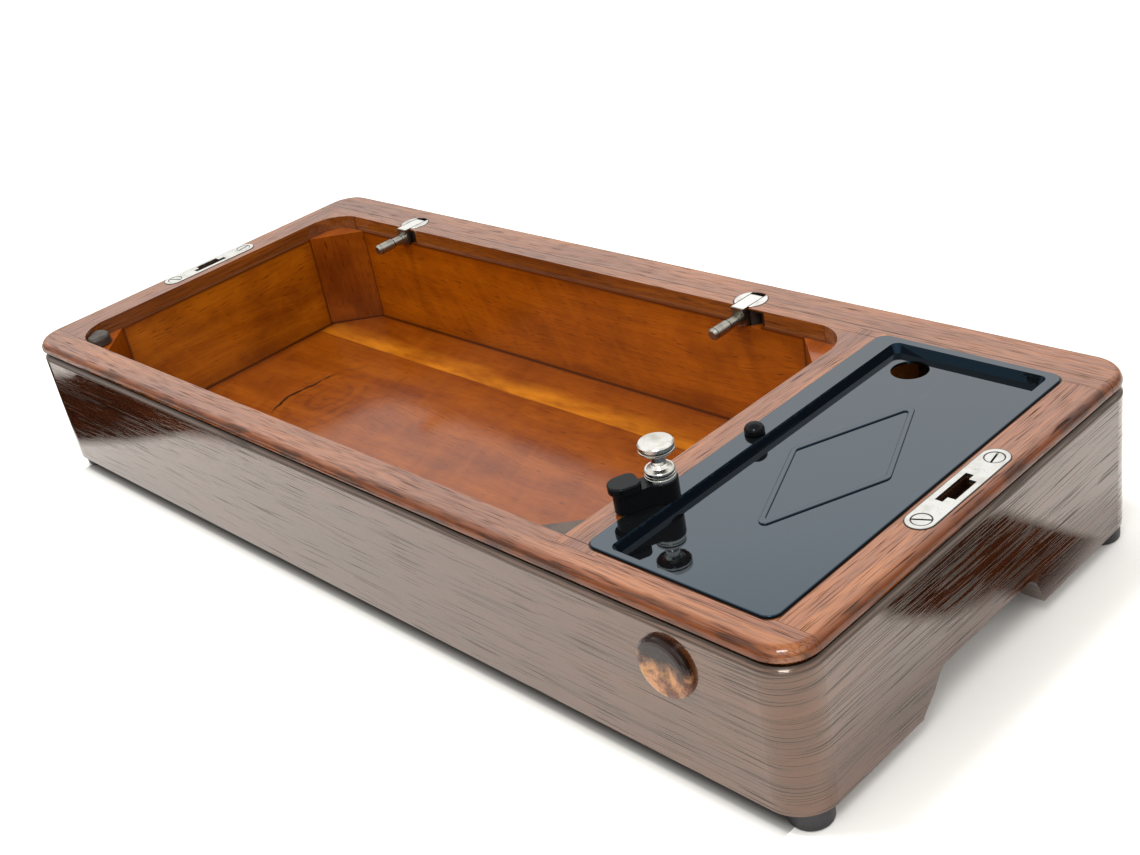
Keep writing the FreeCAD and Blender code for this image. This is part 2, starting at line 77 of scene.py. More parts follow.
class Mat:
    """A material with short calls for its nodes. Lengths are in metres."""

    def __init__(self, name, **values):
        self.m = bpy.data.materials.new(name)
        self.m.use_nodes = True
        self.t = self.m.node_tree
        self.b = self.t.nodes["Principled BSDF"]
        for k, v in values.items():
            self.b.inputs[k.replace("_", " ")].default_value = v

    def put(self, socket, value):
        if isinstance(value, bpy.types.NodeSocket):
            self.t.links.new(value, socket)
        elif value is not None:
            if isinstance(value, tuple) and len(value) == 3 and socket.type == "RGBA":
                value = value + (1.0,)
            socket.default_value = value

    def node(self, kind, inputs=None, **settings):
        n = self.t.nodes.new(kind)
        for k, v in settings.items():
            setattr(n, k, v)
        for k, v in (inputs or {}).items():
            self.put(n.inputs[k], v)
        return n

    def math(self, op, a, b=None):
        return self.node("ShaderNodeMath", {0: a, 1: b}, operation=op).outputs[0]

    def add(self, a, b):
        return self.math("ADD", a, b)

    def sub(self, a, b):
        return self.math("SUBTRACT", a, b)

    def mul(self, a, b):
        return self.math("MULTIPLY", a, b)

    def inverse(self, a):
        return self.math("SUBTRACT", 1.0, a)

    def larger(self, a, b):
        return self.math("MAXIMUM", a, b)

    def smaller(self, a, b):
        return self.math("MINIMUM", a, b)

    def gap(self, a, b):
        return self.math("ABSOLUTE", self.sub(a, b))

    def centred(self, a, k):
        """Noise of 0 to 1 as a swing of k about nothing."""
        return self.mul(self.sub(a, 0.5), k)

    def step(self, f, lo, hi):
        n = self.node("ShaderNodeMapRange", {0: f, 1: lo, 2: hi, 3: 0.0, 4: 1.0}, clamp=True)
        return n.outputs[0]

    def fade(self, f, lo, hi):
        return self.inverse(self.step(f, lo, hi))

    def away(self, x, y, centre):
        """Distance from an upright axis."""
        dx = self.sub(x, centre[0])
        dy = self.sub(y, centre[1])
        return self.math("SQRT", self.add(self.mul(dx, dx), self.mul(dy, dy)))

    def round_rect(self, x, y, lo, hi, r):
        """Signed distance from a rounded rectangle, less than nothing inside."""
        reach = []
        for v, a, b in ((x, lo[0], hi[0]), (y, lo[1], hi[1])):
            reach.append(self.sub(self.gap(v, (a + b) / 2.0), (b - a) / 2.0 - r))
        qx, qy = (self.larger(q, 0.0) for q in reach)
        far = self.math("SQRT", self.add(self.mul(qx, qx), self.mul(qy, qy)))
        inside = self.smaller(self.larger(reach[0], reach[1]), 0.0)
        return self.sub(self.add(far, inside), r)

    def place(self):
        return self.node("ShaderNodeTexCoord").outputs["Object"]

    def split(self, v):
        n = self.node("ShaderNodeSeparateXYZ", {0: v})
        return n.outputs[0], n.outputs[1], n.outputs[2]

    def vec(self, x, y, z):
        return self.node("ShaderNodeCombineXYZ", {0: x, 1: y, 2: z}).outputs[0]

    def scaled(self, v, s):
        return self.node("ShaderNodeVectorMath", {0: v, 1: s}, operation="MULTIPLY").outputs[0]

    def noise(self, v, scale=1.0, detail=2.0, rough=0.5, distort=0.0):
        n = self.node("ShaderNodeTexNoise", {"Vector": v, "Scale": scale, "Detail": detail,
                                             "Roughness": rough, "Distortion": distort})
        return n.outputs[0]

    def grain(self, along, run, across, fine, third, detail=2.0, rough=0.5):
        """Noise drawn out along the grain; run and fine are how many to a metre."""
        v = self.vec(self.mul(along, run), self.mul(across, fine), third)
        return self.noise(v, 1.0, detail, rough)

    def mix(self, f, a, b, how="MIX"):
        n = self.node("ShaderNodeMix", data_type="RGBA", blend_type=how)
        self.put(n.inputs[0], f)
        self.put(n.inputs[6], a)
        self.put(n.inputs[7], b)
        return n.outputs[2]

    def bump(self, height, strength, distance, under=None):
        n = self.node("ShaderNodeBump", {"Height": height, "Strength": strength, "Distance": distance})
        self.put(n.inputs["Normal"], under)
        return n.outputs[0]

    def out(self, **links):
        for k, v in links.items():
            self.put(self.b.inputs[k.replace("_", " ")], v)
        return self.m


# ---------------------------------------------------------------- camera
LENS_MM = 47.66
SENSOR_MM = 36.0
CAMERA_PLACE = (0.50024, -0.38346, 0.36867)
CAMERA_RIGHT = Vector((0.69944917, 0.69487984, -0.16707144))
CAMERA_DOWN = Vector((0.23443386, -0.44391518, -0.86485841))
CAMERA_AHEAD = Vector((-0.67513823, 0.56575729, -0.47339947))

cam = new_object("camera", bpy.data.cameras.new("camera"))
scene.camera = cam
cam.data.sensor_width = SENSOR_MM
cam.data.lens = LENS_MM
cam.data.clip_start = 0.01
cam.data.clip_end = 50.0
turn = Matrix((CAMERA_RIGHT, -CAMERA_DOWN, -CAMERA_AHEAD)).transposed().to_4x4()
cam.matrix_world = Matrix.Translation(CAMERA_PLACE) @ turn

scene.view_settings.view_transform = "Standard"
scene.view_settings.look = "None"

# ---------------------------------------------------------------- light
# How bright the surround is at each height of the direction, 0 level and 1 straight up.
LEVELS = ((0.0, 0.45), (0.15, 0.52), (0.30, 0.78), (0.42, 1.20), (0.55, 1.66), (0.70, 1.50), (0.88, 0.95))
SURROUND_TINT = (1.0, 0.987, 0.965)

world = bpy.data.worlds.new("studio")
scene.world = world
world.use_nodes = True
wt = world.node_tree
aim = wt.nodes.new("ShaderNodeSeparateXYZ")
wt.links.new(wt.nodes.new("ShaderNodeTexCoord").outputs["Generated"], aim.inputs[0])
lift = wt.nodes.new("ShaderNodeValToRGB")
wt.links.new(aim.outputs[2], lift.inputs[0])
wt.links.new(lift.outputs[0], wt.nodes["Background"].inputs["Color"])
while len(lift.color_ramp.elements) < len(LEVELS):
    lift.color_ramp.elements.new(0.5)
for stop, (height, level) in zip(lift.color_ramp.elements, LEVELS):
    stop.position = height
    stop.color = shade(SURROUND_TINT, level) + (1.0,)


def area_light(name, place, target, size, power, colour=(1.0, 1.0, 1.0)):
    light = bpy.data.lights.new(name, "AREA")
    light.shape = "RECTANGLE"
    light.size = size
    light.size_y = size
    light.energy = power
    light.color = colour
    o = new_object(name, light)
    o.location = place
    o.rotation_mode = "QUATERNION"
    o.rotation_quaternion = (Vector(target) - Vector(place)).to_track_quat("-Z", "Y")
    return o


key = area_light("key", (-0.30, -0.36, 1.70), (0.0, 0.0, 0.03), 0.36, 20.0, (1.0, 0.985, 0.96))
key.visible_glossy = False
area_light("overhead", (0.62, -0.72, 1.30), (0.25, -0.10, 0.09), 0.42, 6.0)

CARD_BLACK = (0.004, 0.003, 0.003, 1.0)
HIDDEN_CARD = (0.0015, 1.0)     # height over the floor, and how opaque
# The card that is seen is a painted shadow on the floor.
SHADOW_CARD = (0.0004, 0.86)


def flag(name, corners, soft, seen=False):
    """A black studio card with a feathered edge lying over the floor.

    Cards show in the varnish only. A card that is seen also shows on the floor itself, as a painted shadow.
    """
    height, opaque = SHADOW_CARD if seen else HIDDEN_CARD
    ring = [Vector(c) for c in corners]
    count = len(ring)
    pairs = [(ring[i], ring[(i + 1) % count]) for i in range(count)]
    spin = 1.0 if sum(a.x * b.y - b.x * a.y for a, b in pairs) > 0.0 else -1.0
    inner, outer = [], []
    for i, here in enumerate(ring):
        run = (ring[(i + 1) % count] - ring[i - 1]).normalized()
        aside = Vector((run.y, -run.x)) * spin
        inner.append(here - aside * soft)
        outer.append(here + aside * soft)
    faces = [tuple(range(count))]
    for i in range(count):
        j = (i + 1) % count
        faces.append((i, count + i, count + j, j))
    mesh = bpy.data.meshes.new(name)
    mesh.from_pydata([(v.x, v.y, height) for v in inner + outer], [], faces)
    fade = mesh.attributes.new("fade", "FLOAT", "POINT")
    for i in range(2 * count):
        fade.data[i].value = opaque if i < count else 0.0
    m = Mat(name, Base_Color=CARD_BLACK, Specular_IOR_Level=0.0)
    mesh.materials.append(m.out(Alpha=m.node("ShaderNodeAttribute", attribute_name="fade").outputs["Fac"]))
    o = new_object(name, mesh)
    o.visible_camera = seen
    o.visible_diffuse = False
    o.visible_shadow = False


flag("flag_left", ((-0.268, -0.124), (-0.246, -0.137), (-0.232, -0.149), (-0.221, -0.160), (-0.198, -0.167),
                   (-0.150, -0.176), (-0.100, -0.184), (-0.100, -0.30), (-0.380, -0.30), (-0.374, -0.178),
                   (-0.362, -0.166), (-0.400, -0.150), (-0.700, -0.120), (-0.700, -0.04), (-0.36, -0.08)),
     soft=0.006)
flag("flag_right", ((0.3045, 0.008), (0.318, 0.012), (0.332, 0.022), (0.332, 0.066), (0.304, 0.094),
                    (0.263, 0.094), (0.2605, 0.050), (0.276, 0.042), (0.279, 0.031), (0.284, 0.020),
                    (0.294, 0.011)), soft=0.0045)
# Painted shadow: a dark card seen on the floor just inside the front wall, standing in for the shade in the
# gap under the base.
flag("painted_shadow_under", ((-0.2425, -0.108), (0.2425, -0.108), (0.2425, -0.093), (-0.2425, -0.093)),
     soft=0.0055, seen=True)


# ---------------------------------------------------------------- oak
lo_all, hi_all = node_box("wall_front", "wall_back", "wall_left_end", "wall_right_end")
half_l = (hi_all.x - lo_all.x) / 2.0
half_d = (hi_all.y - lo_all.y) / 2.0
mid_y = (hi_all.y + lo_all.y) / 2.0
BEND_R = 0.0155             # outer corners of the walls

# The first and third colours are painted shade in gaps, recesses and under the rail; the second is real
# dirt in glue lines.
GAP_SHADE = (0.006, 0.004, 0.003)
GLUE_DIRT = (0.010, 0.004, 0.002)
GROOVE_SHADE = (0.003, 0.0015, 0.001)
LIP_WIDTH = 0.0030          # polished outer edge of the rails
FOOT_DROP = 0.0012          # from the groove down to the foot of the bevel


def oak(name, coords, deep, mid, light, seed, relief=0.6, gloss=0.15, rough=0.16, tint=(1.0, 1.0, 1.0),
        coat_share=1.0, wavy=0.20, pore_gain=0.72, pore_run=60.0, pore_fine=2600.0, calm=None,
        rich=None, warm=None, lip=None, cups=(), seat=None, seams=(), pockets=(), groove=None):
    """Ring-porous oak under varnish. coords gives (along, across, depth) in metres.

    calm and rich say from where to where along the grain the pores get fewer or more, and by how
    much. warm says where the varnish is browner. lip is the colour of the polished outer edge.
    seams are glue lines that hold real dirt; cups, seat, pockets and groove are gaps, recesses and the
    groove under the rail that get painted shade.
    """
    m = Mat(name, Coat_Roughness=0.05, Coat_IOR=1.62, Specular_IOR_Level=gloss, Specular_Tint=tint + (1.0,))
    along, across, depth = coords(m)
    spot = m.split(m.place())
    x, y, z = spot

    def grain(run, sideways, fine, shift, detail=2.0, deep_fine=None, rough=0.5):
        third = seed + shift
        if deep_fine is not None:
            third = m.add(m.mul(depth, deep_fine), third)
        return m.grain(along, run, sideways, fine, third, detail, rough)

    wander = grain(5.0, across, 20.0, 0.0)
    ring_at = m.add(across, m.centred(wander, 0.009))
    ripple = grain(26.0, across, 80.0, 3.0, detail=1.0)
    fibre_at = m.add(ring_at, m.centred(ripple, 0.0009))
    # Rings: bands of dense and open wood.
    rings = grain(2.2, ring_at, 170.0, 7.0, detail=3.0, deep_fine=170.0, rough=0.55)
    open_wood = m.step(rings, 0.38, 0.62)
    # Pores: long thin dark dashes, thicker and closer in the open wood.
    limit = m.sub(0.70, m.mul(open_wood, 0.085 * pore_gain))
    if calm is not None:
        start, end, rise = calm
        limit = m.add(limit, m.mul(m.fade(along, start, end), rise))
    if rich is not None:
        start, end, drop = rich
        limit = m.sub(limit, m.mul(m.step(along, start, end), drop))
    pore = grain(pore_run, fibre_at, pore_fine, 11.0, detail=0.0, deep_fine=pore_fine)
    pore = m.smaller(m.larger(m.mul(m.sub(pore, limit), 12.0), 0.0), 1.0)
    fine = m.step(grain(85.0, fibre_at, 2700.0, 17.0, detail=0.0, deep_fine=2000.0), 0.58, 0.70)
    tone = grain(7.0, ring_at, 55.0, 23.0)
    fibre = grain(24.0, fibre_at, 620.0, 29.0)
    base = m.mix(m.step(rings, 0.32, 0.66), light, mid)
    base = m.mix(m.mul(m.step(tone, 0.38, 0.68), 0.6), base, deep)
    base = m.mix(m.mul(m.step(fibre, 0.42, 0.70), 0.45), base, deep)
    if warm is not None:
        start, full, ebb, end, glow = warm
        here = m.mul(m.step(along, start, full), m.fade(along, ebb, end))
        base = m.mix(here, base, m.mix(1.0, base, glow, "ADD"))
    if lip is not None:
        edge = m.larger(m.sub(m.math("ABSOLUTE", x), half_l - LIP_WIDTH),
                        m.sub(m.gap(y, mid_y), half_d - LIP_WIDTH))
        worn = grain(45.0, across, 260.0, 31.0)
        edge = m.step(m.add(edge, m.centred(worn, 0.0030)), 0.0, 0.0018)
        mottle = m.mix(m.step(worn, 0.48, 0.60), lip, shade(lip, 0.35))
        base = m.mix(m.mul(edge, 0.9), base, mottle)
    dark = shade(deep, 0.07)
    base = m.mix(m.mul(fine, 0.40), base, dark)
    base = m.mix(m.mul(pore, 0.96 * pore_gain), base, dark)
    hollow = m.larger(pore, m.mul(fine, 0.22))
    coat = m.mul(m.inverse(m.mul(hollow, 0.85)), coat_share)
    if lip is not None:
        coat = m.mul(coat, m.inverse(m.mul(edge, 0.62)))

    def dirt_and_shade(mask, cover, colour, dull):
        """Real dirt in glue lines and painted shade in gaps, in one colour, which also takes away the
        varnish's shine.
        """
        nonlocal base, coat
        base = m.mix(m.mul(mask, cover), base, colour)
        coat = m.mul(coat, m.inverse(m.mul(mask, dull)))

    for cx, cy, radius in cups:
        # Painted shadow in the gap round a hinge cup.
        dirt_and_shade(m.fade(m.sub(m.away(x, y, (cx, cy)), radius), 0.0003, 0.0006), 0.95, GAP_SHADE, 0.9)
    if seat is not None:
        # Painted shade in the joint round the tray.
        dirt_and_shade(m.fade(m.round_rect(x, y, *seat), 0.0004, 0.0009), 0.95, GAP_SHADE, 1.0)
    for axis, at in seams:
        # A glue line where two rails meet.
        dirt_and_shade(m.fade(m.gap(spot[axis], at), 0.00008, 0.00034), 0.9, GLUE_DIRT, 0.8)
    for lo, hi in pockets:
        # Painted shade in a hinge mortise or a strike pocket.
        inside = 1.0
        for k in range(3):
            inside = m.mul(m.math("GREATER_THAN", spot[k], lo[k]), inside)
            inside = m.mul(m.math("LESS_THAN", spot[k], hi[k]), inside)
        dirt_and_shade(inside, 0.93, GAP_SHADE, 0.9)
    if groove is not None:
        # Painted shade in the groove under the rail, and a second painted dark line at the foot of the
        # bevel.
        groove_shade = grain(60.0, across, 0.0, 37.0)
        groove_shade = m.step(m.add(z, m.mul(groove_shade, 0.0006)), groove, groove + 0.0006)
        dirt_and_shade(groove_shade, 0.95, GROOVE_SHADE, 0.95)
        foot = m.gap(m.add(z, m.centred(wander, 0.0004)), groove - FOOT_DROP)
        foot = m.fade(foot, 0.00025, 0.00060)
        dirt_and_shade(foot, 0.9, GROOVE_SHADE, 0.95)
        hollow = m.larger(m.larger(hollow, groove_shade), m.mul(foot, 0.8))
    height = m.inverse(hollow)
    waves = m.bump(grain(18.0, across, 130.0, 41.0), wavy, 0.0004)
    return m.out(Base_Color=base, Roughness=m.add(rough, m.mul(hollow, 0.45)), Coat_Weight=coat,
                 Normal=m.bump(height, relief, 0.00025, waves),
                 Coat_Normal=m.bump(height, relief * 0.27, 0.00015, waves))


SLANT = 0.8                 # the rings run aslant through a rail
BACK_SHIFT = 3.0            # keeps the back wall's figure apart from the front's
FRONT_SHIFT = 0.37


def run_x(m):
    x, y, z = m.split(m.place())
    return x, m.add(y, m.mul(z, SLANT)), z


def run_y(m):
    x, y, z = m.split(m.place())
    return y, m.add(x, m.mul(z, SLANT)), z


def round_band(m):
    """Distance round the bent outline, and height."""
    x, y, z = m.split(m.place())
    y = m.sub(y, mid_y)
    fx = half_l - BEND_R
    fy = half_d - BEND_R
    cx = m.smaller(m.larger(x, -fx), fx)
    cy = m.smaller(m.larger(y, -fy), fy)
    px = m.sub(x, cx)
    py = m.sub(y, cy)
    front = m.math("LESS_THAN", y, fy)
    bend = m.mul(m.math("ARCTAN2", px, m.math("ABSOLUTE", py)), BEND_R)
    s_front = m.add(m.add(cx, bend), m.mul(m.math("SIGN", px), m.add(cy, fy)))
    s_back = m.sub(BACK_SHIFT, m.add(bend, cx))
    s = m.add(m.mul(s_front, front), m.mul(s_back, m.inverse(front)))
    return s, z, m.mul(front, FRONT_SHIFT)


# Each is the deep, middle and light tone of one kind of board.
SIDE = (srgb(34, 14, 6), srgb(50, 23, 9), srgb(70, 34, 14))
RAIL = (srgb(80, 35, 8), srgb(122, 63, 16), srgb(150, 86, 30))
FLOOR = (srgb(88, 34, 2), srgb(118, 55, 5), srgb(134, 68, 9))
LINING = (srgb(104, 44, 1), srgb(144, 70, 2), srgb(166, 86, 6))
END_LINING = (srgb(104, 46, 2), srgb(154, 80, 4), srgb(176, 98, 10))
POST = (srgb(84, 32, 2), srgb(120, 54, 4), srgb(150, 76, 10))
LIP = srgb(98, 46, 8)
LIGHT_BAND = srgb(186, 112, 22)

band_oak = oak("band_oak", round_band, *SIDE, seed=1.0, gloss=0.88, rough=0.05, relief=0.22, wavy=0.10,
               tint=(1.0, 0.80, 0.66), coat_share=0.52, pore_gain=1.0, pore_run=28.0, pore_fine=2300.0,
               warm=(0.06, 0.24, 0.26, 0.30, (0.030, 0.009, 0.001)), calm=(-0.14, 0.06, 0.042),
               rich=(0.06, 0.28, 0.075), groove=hi_all.z - 0.0007)

TRAY_CORNER_R = 0.005
TONGUE = 0.0068             # the back rail's glue line lies this far behind the well
CUTOUT = {"left": 0.0, "right": 0.0050}     # wood cut away to the right of a hinge
y_front, y_back = (corner[1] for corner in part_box("top_rail_left"))
cross_lo, cross_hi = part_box("cross_rail")
mortises, cup_rims, strike_wells = [], [], []
for side in ("left", "right"):
    lo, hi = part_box(side + "_hinge_cup")
    mortises.append(((lo[0] + 0.0020, y_back - 0.002, 0.0),
                     (hi[0] + CUTOUT[side], hi[1] + 0.0006, hi[2] - 0.0012)))
    radius = (hi[0] - lo[0]) / 2.0
    # The ring's middle is moved a little back and to the left, so the painted shadow in the gap is wider
    # there.
    cup_rims.append(((lo[0] + hi[0]) / 2.0 - 0.0002, hi[1] - radius + 0.0003, radius))
    lo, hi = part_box(side + "_strike_plate")
    strike_wells.append(((lo[0], lo[1], 0.0), (hi[0], hi[1], lo[2] - 0.0002)))
seat = (*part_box("tray"), TRAY_CORNER_R)
rail_oak_x = oak("rail_oak_x", run_x, *RAIL, seed=2.0, lip=LIP, seat=seat, cups=cup_rims,
                 pockets=mortises, seams=((1, y_back + TONGUE),))
rail_oak_y = oak("rail_oak_y", run_y, *RAIL, seed=5.0, lip=LIP, seat=seat, pockets=strike_wells,
                 seams=((1, y_front), (1, y_back), (1, cross_lo[1]), (1, cross_hi[1])))


# ---------------------------------------------------------------- boards in the well
KNOT = (-0.153, -0.002)
SPLIT_R = 0.0225            # the old split curves round the knot at this distance
# Where the painted band of light on the floor begins, fades out, and has its dark front line.
LIGHT_BAND_EDGE = (0.0525, 0.0535)
LIGHT_BAND_FADE = (0.064, 0.078)
LIGHT_BAND_LINE = 0.0508


def inner_wood(name, axis, deep, mid, light, seed, seams=(), board=False):
    """Close-grained varnished board inside the well; seams are (axis, place) lines given painted shade."""
    m = Mat(name, Coat_Weight=0.55, Coat_Roughness=0.11, Coat_IOR=1.5, Specular_IOR_Level=0.1)
    x, y, z = m.split(m.place())
    along, across, depth = {"x": (x, y, z), "xz": (x, z, y), "yz": (y, z, x), "z": (z, x, y)}[axis]
    wander = m.grain(along, 4.0, across, 14.0, seed)
    ring_at = m.add(across, m.centred(wander, 0.05))
    rings = m.grain(along, 3.0, ring_at, 85.0, seed + 2.0, 3.0, 0.6)
    fibre = m.grain(along, 45.0, ring_at, 1300.0, m.mul(depth, 1300.0))
    blotch = m.grain(along, 22.0, across, 34.0, seed + 5.0, 4.0, 0.6)
    curl = m.grain(m.add(along, m.mul(across, 0.5)), 120.0, across, 12.0, seed + 7.0)
    speck = m.step(m.grain(along, 130.0, ring_at, 1900.0, seed + 9.0, 0.0), 0.70, 0.78)
    base = m.mix(m.step(rings, 0.36, 0.64), light, mid)
    base = m.mix(m.mul(m.step(blotch, 0.42, 0.66), 0.65), base, deep)
    base = m.mix(m.mul(m.step(curl, 0.50, 0.66), 0.30), base, light)
    base = m.mix(m.mul(m.step(fibre, 0.50, 0.72), 0.38), base, deep)
    base = m.mix(m.mul(speck, 0.6), base, shade(deep, 0.25))
    height = m.add(m.mul(fibre, 0.5), m.mul(blotch, 0.5))
    if board:
        # Painted light: a paler band at the back of the floor, standing in for the light and the back
        # rail's reflection there.
        light_band = m.step(m.add(y, m.mul(m.grain(x, 12.0, y, 0.0, 2.0), 0.004)), *LIGHT_BAND_EDGE)
        drift = m.add(y, m.mul(m.grain(x, 16.0, y, 30.0, 6.0), 0.022))
        glow = m.step(m.grain(x, 30.0, y, 95.0, 14.0, 3.0, 0.6), 0.32, 0.62)
        patchy = m.add(m.mul(glow, 0.65), 0.18)
        base = m.mix(m.mul(m.mul(light_band, m.fade(drift, *LIGHT_BAND_FADE)), patchy), base, LIGHT_BAND)
        # A painted dark line along the front edge of the band of light.
        base = m.mix(m.mul(m.fade(m.gap(y, LIGHT_BAND_LINE), 0.0002, 0.0009), 0.4), base, deep)
        # The knot, drawn out along y, with ripples round it.
        kx = m.sub(x, KNOT[0])
        ky = m.sub(y, KNOT[1])
        far = m.math("SQRT", m.add(m.mul(kx, kx), m.mul(m.mul(ky, ky), 0.42)))
        ragged = m.grain(x, 55.0, y, 55.0, 4.0, 3.0)
        torn = m.add(far, m.centred(ragged, 0.010))
        ripple = m.step(m.math("SINE", m.mul(torn, 800.0)), 0.0, 1.0)
        near = m.mul(m.fade(far, 0.014, 0.050), m.step(ragged, 0.40, 0.60))
        base = m.mix(m.mul(m.mul(near, ripple), 0.38), base, shade(deep, 0.45))
        # The old split along the knot's left side.
        side = m.mul(m.fade(kx, -0.006, -0.001),
                     m.mul(m.step(ky, -0.030, -0.020), m.fade(ky, 0.016, 0.026)))
        split = m.mul(m.fade(m.gap(torn, SPLIT_R), 0.0005, 0.0014), side)
        split = m.mul(split, m.step(m.grain(x, 90.0, y, 90.0, 8.0, 1.0), 0.36, 0.50))
        base = m.mix(m.mul(split, 0.95), base, (0.006, 0.002, 0.001))
        height = m.sub(height, split)
    for k, at in seams:
        # Painted shade in a corner of the well: a dark line in the crease and a wide soft darkening beside
        # it.
        d = m.add(m.gap((x, y, z)[k], at), m.centred(blotch, 0.0012))
        base = m.mix(m.mul(m.fade(d, 0.0004, 0.0016), 0.88), base, (0.012, 0.0035, 0.001))
        base = m.mix(m.mul(m.fade(d, 0.001, 0.009), 0.35), base, deep)
    smear = m.noise(m.place(), 22.0, 2.0)
    return m.out(Base_Color=base, Roughness=m.add(m.mul(smear, 0.22), 0.20),
                 Normal=m.bump(height, 0.30, 0.0005),
                 Coat_Normal=m.bump(m.add(blotch, m.mul(fibre, 0.3)), 0.16, 0.0006))


board_lo, board_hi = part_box("floor_board")
back_left_lo, back_left_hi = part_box("post_back_left")
floor_seam = (2, board_hi[2])
rail_seam = (2, hi_all.z - 0.0001)
floor_wood = inner_wood("floor_wood", "x", *FLOOR, 3.0, board=True,
                        seams=((0, board_lo[0]), (0, board_hi[0]), (1, board_lo[1]), (1, board_hi[1])))
wall_wood_x = inner_wood("well_wood_x", "xz", *LINING, 6.0,
                         seams=(floor_seam, rail_seam, (0, back_left_hi[0]),
                                (0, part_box("post_back_right")[0][0])))
wall_wood_y = inner_wood("well_wood_y", "yz", *END_LINING, 9.0,
                         seams=(floor_seam, rail_seam, (1, back_left_lo[1]),
                                (1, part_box("post_front_left")[1][1])))
post_wood = inner_wood("post_wood", "z", *POST, 12.0, seams=(floor_seam,))


# ---------------------------------------------------------------- paint, plate, rubber, plug
def black_paint(name, shine, tint, shaded_sides):
    """Stoved black gloss paint with faint orange peel, dust and scuffs."""
    m = Mat(name, Specular_IOR_Level=shine, Specular_Tint=tint, Coat_Roughness=0.02, Coat_IOR=1.6)
    p = m.place()
    if shaded_sides:
        # Painted shade: the steep sides get less gloss coat than the flats, so they read darker, as a dim
        # surround would make them.
        up = m.split(m.node("ShaderNodeNewGeometry").outputs["Normal"])[2]
        m.out(Coat_Weight=m.mul(m.step(up, 0.55, 0.97), 0.55))
    dust = m.step(m.noise(p, 1500.0, 1.0), 0.62, 0.80)
    cloud = m.noise(p, 35.0, 3.0)
    scuff = m.step(m.noise(m.scaled(p, (900.0, 60.0, 200.0)), 1.0, 1.0), 0.72, 0.80)
    scuff = m.mul(scuff, m.step(cloud, 0.52, 0.62))
    base = m.mix(m.mul(dust, 0.22), (0.0028, 0.0030, 0.0034), (0.016, 0.016, 0.017))
    base = m.mix(m.mul(scuff, 0.4), base, (0.05, 0.05, 0.05))
    r = m.add(m.add(0.02, m.mul(cloud, 0.05)), m.mul(scuff, 0.25))
    peel = m.noise(p, 420.0, 1.0)
    return m.out(Base_Color=base, Roughness=r, Normal=m.bump(m.add(peel, scuff), 0.025, 0.0003))


tray_black = black_paint("tray_enamel", 0.38, (0.42, 1.0, 1.6, 1.0), shaded_sides=True)
lever_black = black_paint("lever_enamel", 0.12, (0.9, 1.0, 1.1, 1.0), shaded_sides=False)

KNOB_GROOVES = (0.0024, 0.0040, 0.01235)    # below the top of the thumb screw
SCREW_SPREAD = 0.0233                       # from a strike plate's middle to each screw
SCREW_R = 0.00375
PLATE_SKIN = (0.0006, 0.0003)               # below this much of its top a plate is darker


